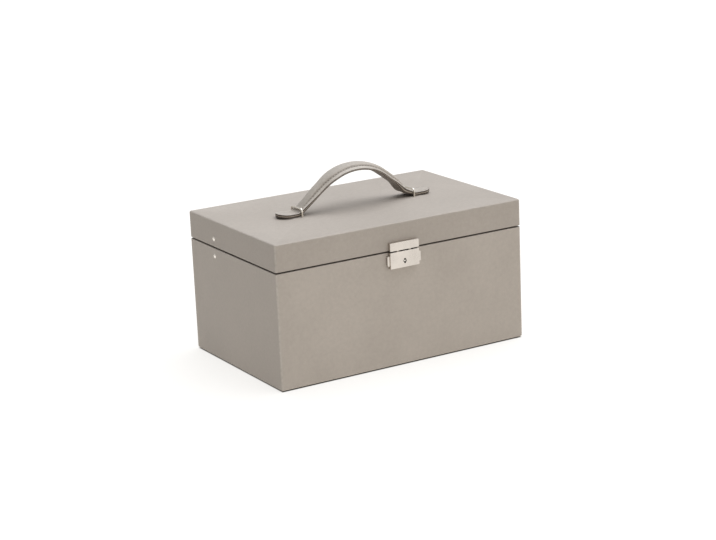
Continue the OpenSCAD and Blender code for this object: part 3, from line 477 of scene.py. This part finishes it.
def lidCover():
    low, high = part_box("lid_cover")
    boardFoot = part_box("lid_front_board")[0].z
    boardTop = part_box("lid_top_board")[1].z
    liningLow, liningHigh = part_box("lid_wall_lining")
    skin = high.z - boardTop
    cover = roundedBlock("lid_cover_leather", low, high, "edge", "rim")
    lip = Vector((coverSet["lip"], coverSet["lip"], 0))
    coreLow = Vector((low.x + skin, low.y + skin, boardFoot))
    core = addBlock("core", coreLow, high - Vector((skin, skin, skin)))
    mouthLow = Vector((liningLow.x, liningLow.y, low.z - mm)) + lip
    mouth = addBlock("mouth", mouthLow, Vector((liningHigh.x, liningHigh.y, boardFoot + mm)) - lip)
    cutters = [core, mouth, stayRods("lid_stay_rivets"), *hingeBlocks()]
    for side in ("left", "right"):
        loopLow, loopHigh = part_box("handle_loop_" + side)
        wire = (loopHigh.x - loopLow.x) / 2
        middle = (loopLow.x + loopHigh.x) / 2
        for y in (loopLow.y + wire, loopHigh.y - wire):
            start, end = (middle, y, boardTop - mm), (middle, y, high.z + mm)
            cutters.append(addRod("loop_hole", start, end, wire * coverSet["loopRoom"]))
    cutAway(cover, *cutters)
    addWearHighlightAndShade(cover, low, high, coverSet["edge"], coverSet["rim"], low.z, coverSet["lidShade"])
    smoothShade(cover)
    settle(cover, coverLeather, "lid", "leather", "lid_cover")


caseCover()
lidCover()
print("leather covers done")


# Pieces that keep the shape of their CAD node and get eased edges
easedSet = {
    "lock_case": (0.28 * mm, satinNickel), "hasp_plate": (0.28 * mm, satinNickel),
    "latch_button_left": (0.3 * mm, satinNickel), "latch_button_right": (0.3 * mm, satinNickel),
    "lock_back_plate": (0.1 * mm, keyholeShadeSteel), "lock_cam": (0.08 * mm, keyholeShadeSteel),
    "hinge_leaf_base_left": (0.12 * mm, satinNickel), "hinge_leaf_base_right": (0.12 * mm, satinNickel),
    "hinge_leaf_lid_left": (0.12 * mm, satinNickel), "hinge_leaf_lid_right": (0.12 * mm, satinNickel),
    "hinge_pin_left": (0.2 * mm, wireNickel), "hinge_pin_right": (0.2 * mm, wireNickel),
    "stay_arm_left": (0.25 * mm, satinNickel), "stay_arm_right": (0.25 * mm, satinNickel),
    "base_stay_rivets": (0, wireNickel), "lid_stay_rivets": (0, wireNickel),
    "handle_loop_left": (0, wireNickel), "handle_loop_right": (0, wireNickel),
    "floor_lining": (0.3 * mm, liningSuede), "wall_lining": (0.3 * mm, liningSuede),
    "lid_ceiling_lining": (0.3 * mm, liningSuede), "lid_wall_lining": (0.3 * mm, liningSuede),
    "rail_front": (0.5 * mm, liningSuede), "rail_back": (0.5 * mm, liningSuede),
    "divider_long": (0.8 * mm, liningSuede), "cross_divider_left": (0.8 * mm, liningSuede),
    "cross_divider_right": (0.8 * mm, liningSuede), "tray_shell": (0.9 * mm, liningSuede),
    "tray_divider_long": (0.7 * mm, liningSuede), "tray_divider_cross": (0.7 * mm, liningSuede),
    "mirror": (0.3 * mm, mirrorSilver), "base_pad": (0.3 * mm, baseFelt),
}


easeSet = dict(merge=0.001 * mm, flat=0.5, steps=3, sharp=40, pinReach=1.2 * mm)


def easedCopy(node, width, material, body=None):
    piece = bpy.data.objects.new(node + "_finished", nodes[node].data.copy())
    bpy.context.scene.collection.objects.link(piece)
    makeActive(piece)
    bpy.ops.mesh.customdata_custom_splitnormals_clear()
    bpy.ops.object.mode_set(mode="EDIT")
    bpy.ops.mesh.select_all(action="SELECT")
    bpy.ops.mesh.remove_doubles(threshold=easeSet["merge"])
    bpy.ops.mesh.dissolve_limited(angle_limit=math.radians(easeSet["flat"]))
    bpy.ops.object.mode_set(mode="OBJECT")
    if width:
        applyModifier(piece, "BEVEL", width=width, segments=easeSet["steps"], limit_method="ANGLE",
                      angle_limit=math.radians(easeSet["sharp"]))
    smoothShade(piece)
    settle(piece, material, body or nodes[node]["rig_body"], slotOf[node], node)
    return piece


def brightPin(plate):
    # the key pin stands forward of the plate that carries it; the plate's dark steel is painted shade
    # inside the keyhole, and the pin stays bright nickel
    plate.data.materials.append(wireNickel)
    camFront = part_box("lock_cam")[0].y
    for face in plate.data.polygons:
        if face.center.y < camFront and abs(face.center.x) < easeSet["pinReach"]:
            face.material_index = 1


for node, (width, material) in easedSet.items():
    piece = easedCopy(node, width, material)
    if node == "lock_back_plate":
        brightPin(piece)
print("eased pieces done:", len(easedSet))


# Latch springs: copies of their CAD nodes, seated in the lock
def latchSpring(side):
    node, joint = "latch_spring_" + side, side + "_button_press"
    spring = easedCopy(node, 0, wireNickel, "case")
    low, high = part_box(node)
    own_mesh(spring)


for side in ("left", "right"):
    latchSpring(side)
print("latch springs done")


# Leather frame that holds the mirror's rim
frameSet = dict(corner=5 * mm, cornerSteps=6, outer=1.6 * mm, inner=1.1 * mm, steps=4, fit=0.15 * mm)


def mirrorFrame():
    low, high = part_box("mirror_frame")
    glassLow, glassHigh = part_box("mirror")
    points = nodes["mirror_frame"].data.vertices
    sight = Vector((min(abs(p.co.x) for p in points), min(abs(p.co.y) for p in points), 0))
    fit = Vector((frameSet["fit"], frameSet["fit"], 0))
    border = addBlock("mirror_frame_leather", low, high)
    bevelEdges(border, lambda a, b: abs(a.z - b.z) > touch, frameSet["corner"], frameSet["cornerSteps"])
    bevelEdges(border, lambda a, b: max(a.z, b.z) < low.z + touch, frameSet["outer"], frameSet["steps"])
    window = addBlock("window", Vector((0, 0, low.z - mm)) - sight, Vector((0, 0, high.z + mm)) + sight)
    seat = addBlock("seat", glassLow - fit, Vector((glassHigh.x, glassHigh.y, high.z + mm)) + fit)
    cutAway(border, window, seat)

    def onSight(point):
        besideX = abs(abs(point.x) - sight.x) < touch
        besideY = abs(abs(point.y) - sight.y) < touch
        return (besideX or besideY) and point.z < low.z + touch

    bevelEdges(border, lambda a, b: onSight(a) and onSight(b), frameSet["inner"], frameSet["steps"])
    smoothShade(border)
    settle(border, strapLeather, "lid", "leather", "mirror_frame")


mirrorFrame()
print("mirror frame done")


# CAD nodes that stay as they are
keptSet = {"lock_screws": wireNickel, "hasp_screws": wireNickel,
           "hinge_screws_base": wireNickel, "hinge_screws_lid": wireNickel,
           "latch_slide_left": lockSteel, "latch_slide_right": lockSteel}
for node in nodes:
    if node.endswith("_board"):
        keptSet[node] = fibreBoard
for node, material in keptSet.items():
    nodes[node].data.materials.clear()
    nodes[node].data.materials.append(material)
print("kept CAD nodes:", len(keptSet))


# Handle strap: a stuffed top sewn to a flat backing, held down by the two loops
strapSet = dict(legAngle=37.5, footRadius=10 * mm, footOut=4.51 * mm, half=10.3 * mm, midHalf=13.6 * mm,
                shoulderIn=40 * mm, shoulderRun=10 * mm, tipRadius=11.4 * mm, tipTurn=84, tipHalf=0.3 * mm,
                tipThick=3.8 * mm, tipLift=1.6 * mm, edge=1.9 * mm, marginRise=2.6 * mm, fill=3.3 * mm,
                fillRun=16 * mm, fillIn=11 * mm, rows=90, columns=24, tipRows=16, border=0.999, seam=2 / 3,
                seamNear=0.01, seamShade=0.6, marginHighlight=0.9, highlightRun=30 * mm, groove=0.75 * mm, lip=0.2 * mm,
                creases=4, creaseDepth=0.22 * mm, creaseReach=11 * mm, follow=0.92, dipDepth=1.4 * mm,
                dipIn=10 * mm, dipRun=13 * mm, dipOut=9 * mm, dipSag=1.5)
# Layers of the strap's edge: share of its height, and by how many mm it is pulled in
strapLayers = ((0, 0.25), (0.12, 0), (0.34, 0), (0.38, 0.15), (0.62, 0.15), (0.66, 0), (0.88, 0), (1, 0.25))
stitchSet = dict(pitch=3.6 * mm, long=1.05 * mm, wide=0.42 * mm, sunk=0.12 * mm, step=0.1 * mm,
                 sides=6, rings=5)


def strapRoute():
    low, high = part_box("handle_strap")
    loopLow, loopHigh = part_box("handle_loop_right")
    bend = math.radians(strapSet["legAngle"])
    loop = (loopLow.x + loopHigh.x) / 2
    land = loop + strapSet["footOut"]
    foot = strapSet["footRadius"]
    tip = high.x - strapSet["tipRadius"] * math.sin(math.radians(strapSet["tipTurn"]))
    rise = high.z - low.z - strapSet["edge"] - strapSet["marginRise"] - strapSet["fill"]
    legRun = land - foot * math.sin(bend)
    legRise = rise - foot * (1 - math.cos(bend))
    crown = (legRun * math.sin(bend) - legRise * math.cos(bend)) / (1 - math.cos(bend))
    crownEnd = crown * bend
    legEnd = crownEnd + (legRise - crown * (1 - math.cos(bend))) / math.sin(bend)
    footEnd = legEnd + foot * bend
    return dict(bend=bend, loop=loop, land=land, fillEnd=legRun - strapSet["fillIn"], foot=foot, tip=tip,
                rise=rise, crown=crown, floor=low.z, crownEnd=crownEnd, legEnd=legEnd, footEnd=footEnd,
                tipMiddle=footEnd + tip - land)


route = strapRoute()


def alongStrap(reach):
    # underside of the strap at a distance from the crown: x, z and slope
    bend, crown, foot = route["bend"], route["crown"], route["foot"]
    if reach < route["crownEnd"]:
        slope = reach / crown
        return crown * math.sin(slope), route["rise"] - crown * (1 - math.cos(slope)), slope
    if reach < route["legEnd"]:
        past = reach - route["crownEnd"]
        x = crown * math.sin(bend) + past * math.cos(bend)
        return x, route["rise"] - crown * (1 - math.cos(bend)) - past * math.sin(bend), bend
    if reach < route["footEnd"]:
        slope = bend - (reach - route["legEnd"]) / foot
        return route["land"] - foot * math.sin(slope), foot * (1 - math.cos(slope)), slope
    past = reach - route["footEnd"]
    lift = (past / (route["tip"] + strapSet["tipRadius"] - route["land"])) ** 2 * strapSet["tipLift"]
    return route["land"] + past, lift, 0


def eased(share):
    share = max(0, min(1, share))
    return share * share * (3 - 2 * share)


def halfWidth(reach):
    past = reach - route["tipMiddle"]
    radius, half = strapSet["tipRadius"], strapSet["half"]
    if past < -math.sqrt(radius * radius - half * half):
        inside = route["loop"] - strapSet["shoulderIn"] - alongStrap(reach)[0]
        run = strapSet["shoulderRun"]
        return half + (strapSet["midHalf"] - half) * eased((inside + run) / (2 * run))
    return math.sqrt(max(0, radius * radius - past * past))


def fillAt(reach):
    # share of the full stuffing, and the height of the strap's edge
    x = alongStrap(reach)[0]
    share = eased((route["fillEnd"] + strapSet["fillRun"] - x) / (2 * strapSet["fillRun"]))
    return share, strapSet["tipThick"] + (strapSet["edge"] - strapSet["tipThick"]) * share


def topHeight(reach, v):
    # height of the sewn top above the underside, v from -1 at one edge to 1 at the other
    share, edge = fillAt(reach)
    seam, across = strapSet["seam"], abs(v)
    if across > seam:
        return edge, edge + share * (strapSet["marginRise"] * (1 - across) / (1 - seam) + strapSet["lip"])
    dome = math.sqrt(max(0, 1 - (across / seam) ** 2))
    height = edge + share * (strapSet["marginRise"] + strapSet["fill"] * dome)
    if seam - across < strapSet["seamNear"]:
        height -= share * strapSet["groove"]
    past = (reach - route["legEnd"]) / strapSet["creaseReach"]
    if abs(past) < 1:
        fold = math.cos(math.pi * strapSet["creases"] * past) * (1 - past * past) * dome
        height -= share * strapSet["creaseDepth"] * (1 + fold)
    return edge, height


def dipAt(reach):
    # the right leg sinks a little on its way to the loop, its underside more than its top
    past = alongStrap(reach)[0] - route["loop"] + strapSet["dipIn"]
    share = past / strapSet["dipOut"] if past > 0 else -past / strapSet["dipRun"]
    return strapSet["dipDepth"] * eased(1 - share)


def strapPlace(reach, y, height):
    x, z, slope = alongStrap(abs(reach))
    side = -1 if reach < 0 else 1
    height -= dipAt(reach) if side > 0 else 0
    return Vector((side * (x + height * math.sin(slope)), y, route["floor"] + z + height * math.cos(slope)))


def reachOf(row):
    # rows run evenly to the round of the tip, then by equal angles round it
    radius, straight = strapSet["tipRadius"], strapSet["rows"] - strapSet["tipRows"]
    shoulder = math.acos(strapSet["half"] / radius)
    if row < straight:
        return row / straight * (route["tipMiddle"] - radius * math.sin(shoulder))
    sweep = math.radians(strapSet["tipTurn"]) + shoulder
    turn = (row - straight) / strapSet["tipRows"] * sweep - shoulder
    return route["tipMiddle"] + radius * math.sin(turn)


def strapSheet():
    # a flat grid from -1 to 1 each way, drawn up by 1 for each further layer
    makeActive(None)
    bpy.ops.mesh.primitive_grid_add(x_subdivisions=2 * strapSet["rows"], y_subdivisions=strapSet["columns"],
                                    size=2)
    strap = bpy.context.object
    strap.name = strap.data.name = "handle_strap_leather"
    bpy.ops.object.mode_set(mode="EDIT")
    bpy.ops.mesh.select_all(action="SELECT")
    for layer in strapLayers[1:]:
        bpy.ops.mesh.extrude_region_move(TRANSFORM_OT_translate={"value": (0, 0, 1)})
    bpy.ops.mesh.select_all(action="SELECT")
    bpy.ops.mesh.normals_make_consistent(inside=False)
    bpy.ops.object.mode_set(mode="OBJECT")
    return strap


def strapColours(strap):
    # the top, the dyed edge, the lighter core in the middle of the edge, and the backing, whose darker
    # colour is painted shade under the strap
    for material in (strapLeather, edgeDye, strapCore, strapBackingShade):
        strap.data.materials.append(material)
    middle = (len(strapLayers) - 1) / 2
    for face in strap.data.polygons:
        if abs(face.normal.z) > 0.5:
            face.material_index = 0 if face.normal.z > 0 else 3
        else:
            face.material_index = 2 if abs(face.center.z - middle) < 1 else 1


def handleStrap():
    strap = strapSheet()
    strapColours(strap)
    last = len(strapLayers) - 1
    shadePaint = strap.data.attributes.new("paintedShade", "FLOAT", "POINT")
    wearHighlight = strap.data.attributes.new("edgeWearHighlight", "FLOAT", "POINT")
    for point in strap.data.vertices:
        u, v, level = point.co.x, point.co.y, round(point.co.z)
        border = max(abs(u), abs(v)) > strapSet["border"]
        share, pulled = strapLayers[level]
        reach = reachOf(abs(u) * strapSet["rows"])
        edge, height = topHeight(reach, v)
        # painted shade along the stitch groove
        if level == last and abs(abs(v) - strapSet["seam"]) < strapSet["seamNear"]:
            shadePaint.data[point.index].value = strapSet["seamShade"]
        # painted highlight on the top's margins: full on the left, fading away along the right leg
        elif level == last and abs(v) > strapSet["seam"]:
            along = math.copysign(alongStrap(reach)[0], u)
            wearHighlight.data[point.index].value = strapSet["marginHighlight"] * eased(1 - along / strapSet["highlightRun"])
        sag = dipAt(reach) * strapSet["dipSag"] if u > 0 else 0
        if border:
            height = edge * share - sag * (1 - share)
        elif level == 0:
            height = -sag
        inset = pulled * mm if border else 0
        y = v * max(halfWidth(reach) - inset, strapSet["tipHalf"])
        reach -= inset if abs(u) > strapSet["border"] else 0
        point.co = strapPlace(math.copysign(reach, u), y, height)
    applyModifier(strap, "SUBSURF", levels=1, render_levels=1)
    smoothShade(strap, 55, flatFaces=False)
    return strap


def stitchLine():
    # once round the strap: along one edge, round the tip, back along the other edge and round the other tip
    radius = strapSet["tipRadius"] - strapSet["half"] * (1 - strapSet["seam"])
    middle, side = route["tipMiddle"], strapSet["half"] * strapSet["seam"]
    shoulder = math.sqrt(radius * radius - side * side)
    straight, step = middle - shoulder, stitchSet["step"]
    runs = int(2 * straight / step)
    turns = int(math.pi * radius / step)
    start = math.asin(shoulder / radius)
    for way in (1, -1):
        for i in range(runs):
            reach = -straight + i * step
            yield way * reach, -way * halfWidth(abs(reach)) * strapSet["seam"]
        for i in range(turns):
            turn = -start + i * (math.pi + 2 * start) / turns
            yield way * (middle + radius * math.sin(turn)), -way * radius * math.cos(turn)


def sewOn(thread, here, along):
    across = Vector((0, 0, 1)).cross(along).normalized()
    turn = Matrix((along, across, along.cross(across))).transposed().to_4x4()
    stitch = bpy.data.objects.new("stitch", thread.data.copy())
    stitch.data.transform(Matrix.Translation(here) @ turn)
    bpy.context.scene.collection.objects.link(stitch)
    return stitch


def strapStitches():
    makeActive(None)
    sides, rings = stitchSet["sides"], stitchSet["rings"]
    bpy.ops.mesh.primitive_uv_sphere_add(segments=sides, ring_count=rings, radius=1)
    thread = bpy.context.object
    thread.rotation_euler = (0, math.pi / 2, 0)
    bpy.ops.object.transform_apply(location=False, rotation=True, scale=False)
    thread.scale = (stitchSet["long"], stitchSet["wide"], stitchSet["wide"])
    bpy.ops.object.transform_apply(location=False, rotation=False, scale=True)
    stitches = []
    line = list(stitchLine())
    for top in (True, False):
        walked, last = 0, None
        for reach, y in line:
            share, edge = fillAt(abs(reach))
            sag = dipAt(reach) * strapSet["dipSag"] if reach > 0 else 0
            seamTop = edge + share * strapSet["marginRise"] - stitchSet["sunk"]
            here = strapPlace(reach, y, seamTop if top else stitchSet["sunk"] - sag)
            if last is not None:
                walked += (here - last).length
                if walked >= stitchSet["pitch"]:
                    walked = 0
                    stitches.append(sewOn(thread, here, (here - last).normalized()))
            last = here
    makeActive(stitches[0])
    for stitch in stitches:
        stitch.select_set(True)
    bpy.ops.object.join()
    bpy.data.objects.remove(thread)
    joined = bpy.context.object
    joined.name = joined.data.name = "handle_strap_stitches"
    joined.data.materials.append(strapThread)
    bpy.ops.object.shade_smooth()
    print("stitches sewn:", len(stitches))
    return joined


strap = handleStrap()
stitches = strapStitches()
for piece in (strap, stitches):
    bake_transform(piece)
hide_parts("handle_strap")
print("handle strap done")


# Ring rolls: one stuffed roll, swollen by its filling and copied
rollSet = dict(count=5, sides=32, shrink=0.93, short=0.985, endRound=4.2 * mm, endSteps=5, endNear=0.1 * mm,
               voxel=2 * mm, pressure=4, frames=20, cap=0.7 * mm, sewn=-0.72, pleats=11,
               pleatDepth=0.35 * mm, pleatReach=7 * mm)


def swell(piece, radius):
    sewn = piece.vertex_groups.new(name="sewn")
    sewn.add([p.index for p in piece.data.vertices if p.co.z < rollSet["sewn"] * radius], 1, "REPLACE")
    cloth = piece.modifiers.new("filling", "CLOTH")
    cloth.settings.use_pressure = True
    cloth.settings.uniform_pressure_force = rollSet["pressure"]
    cloth.settings.effector_weights.gravity = 0
    cloth.settings.vertex_group_mass = "sewn"
    cloth.point_cache.frame_end = rollSet["frames"]
    rest = [p.co.copy() for p in piece.data.vertices]
    for step in range(1, rollSet["frames"] + 1):
        bpy.context.scene.frame_set(step)
    makeActive(piece)
    bpy.ops.object.modifier_apply(modifier=cloth.name)
    for point, start in zip(piece.data.vertices, rest):
        move = point.co - start
        if move.length > rollSet["cap"]:
            point.co = start + move.normalized() * rollSet["cap"]
    bpy.context.scene.frame_set(1)


def ringRoll(radius, length):
    makeActive(None)
    slim, depth = radius * rollSet["shrink"], length * rollSet["short"]
    bpy.ops.mesh.primitive_cylinder_add(vertices=rollSet["sides"], radius=slim, depth=depth)
    roll = bpy.context.object
    roll.name = roll.data.name = "ring_roll"
    roll.rotation_euler = (0, math.pi / 2, 0)
    bpy.ops.object.transform_apply(location=True, rotation=True, scale=True)
    end = depth / 2 - rollSet["endNear"]
    bevelEdges(roll, lambda a, b: min(abs(a.x), abs(b.x)) > end and a.x * b.x > 0, rollSet["endRound"],
               rollSet["endSteps"])
    makeActive(roll)
    roll.data.remesh_voxel_size = rollSet["voxel"]
    bpy.ops.object.voxel_remesh()
    swell(roll, radius)
    for point in roll.data.vertices:
        near = 1 - (length / 2 - abs(point.co.x)) / rollSet["pleatReach"]
        if near > 0:
            turn = math.atan2(point.co.z, point.co.y)
            inward = 1 - near * rollSet["pleatDepth"] / radius * (1 + math.sin(rollSet["pleats"] * turn))
            point.co.y *= inward
            point.co.z *= inward
    applyModifier(roll, "SUBSURF", levels=1, render_levels=1)
    makeActive(roll)
    bpy.ops.object.shade_smooth()
    return roll


def ringRolls():
    low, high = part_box("ring_rolls")
    radius, length = (high.z - low.z) / 2, high.x - low.x
    step = (high.y - low.y - 2 * radius) / (rollSet["count"] - 1)
    model = ringRoll(radius, length)
    model.data.materials.append(rollSuede)
    for i in range(rollSet["count"]):
        roll = bpy.data.objects.new("ring_roll_%d" % (i + 1), model.data.copy())
        bpy.context.scene.collection.objects.link(roll)
        place = Vector(((low.x + high.x) / 2, low.y + radius + i * step, low.z + radius))
        roll.data.transform(Matrix.Translation(place))
        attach(roll, "tray")
        if i == 0:
            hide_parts("ring_rolls")
    bpy.data.objects.remove(model)


ringRolls()
print("ring rolls done")


# Floor and light
stageSet = dict(floorHalf=30, floorTone=(0.3, 0.293, 0.28, 1), floorGlow=(1, 0.985, 0.96, 1),
                glowStrength=0.72, glowFade=2 * mm, skyLeft=0.08, skyRight=0.66, mirroredSky=0.62)
lightSet = {
    "key_light": dict(strength=2.6, comesFrom=(0.22, 0.1, 1), angle=72, tint=(0.955, 1, 1.075)),
    "front_fill": dict(strength=0.54, comesFrom=(0.35, -1, 0.35), angle=80, tint=(1.04, 1, 0.94)),
}


def floorPaper():
    # pale paper that glows softly as studio light, but not where the case covers it: the unlit footprint
    # paints the contact shade under the case
    paper, tree, shader = startMaterial("floor_paper", Base_Color=stageSet["floorTone"], Roughness=0.9,
                                        Emission_Color=stageSet["floorGlow"])
    low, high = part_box("case_cover")
    place = addNode(tree, "SeparateXYZ", {"Vector": objectPlace(tree)})
    glows = []
    for axis, middle, half in zip("XY", (low + high) / 2, (high - low) / 2):
        away = mathOf(tree, "ABSOLUTE", mathOf(tree, "SUBTRACT", place.outputs[axis], middle))
        glows.append(spread(tree, away, 0, stageSet["glowStrength"], half - stageSet["glowFade"], half))
    tree.links.new(mathOf(tree, "MAXIMUM", *glows), shader.inputs["Emission Strength"])
    return paper


def stageAndLight():
    makeActive(None)
    bpy.ops.mesh.primitive_plane_add(size=2 * stageSet["floorHalf"])
    floor = bpy.context.object
    floor.name = "floor"
    floor.data.materials.append(floorPaper())
    world = bpy.data.worlds.new("studio")
    world.use_nodes = True
    tree = world.node_tree
    sight = addNode(tree, "TexCoord").outputs["Generated"]
    way = addNode(tree, "SeparateXYZ", {"Vector": sight}).outputs["X"]
    sky = spread(tree, way, stageSet["skyLeft"], stageSet["skyRight"], -1, 1)
    mirrored = addNode(tree, "LightPath").outputs["Is Glossy Ray"]
    strength = spread(tree, mirrored, sky, stageSet["mirroredSky"], 0, 1)
    tree.nodes["Background"].inputs["Color"].default_value = (1, 1, 1, 1)
    tree.links.new(strength, tree.nodes["Background"].inputs["Strength"])
    bpy.context.scene.world = world
    for name, light in lightSet.items():
        makeActive(None)
        bpy.ops.object.light_add(type="SUN")
        sun = bpy.context.object
        sun.name = name
        sun.data.energy = light["strength"]
        sun.data.angle = math.radians(light["angle"])
        sun.data.color = light["tint"]
        sun.rotation_euler = Vector(light["comesFrom"]).to_track_quat("Z", "Y").to_euler()
    bpy.context.scene.view_settings.view_transform = "Standard"


stageAndLight()
print("floor and lights done")
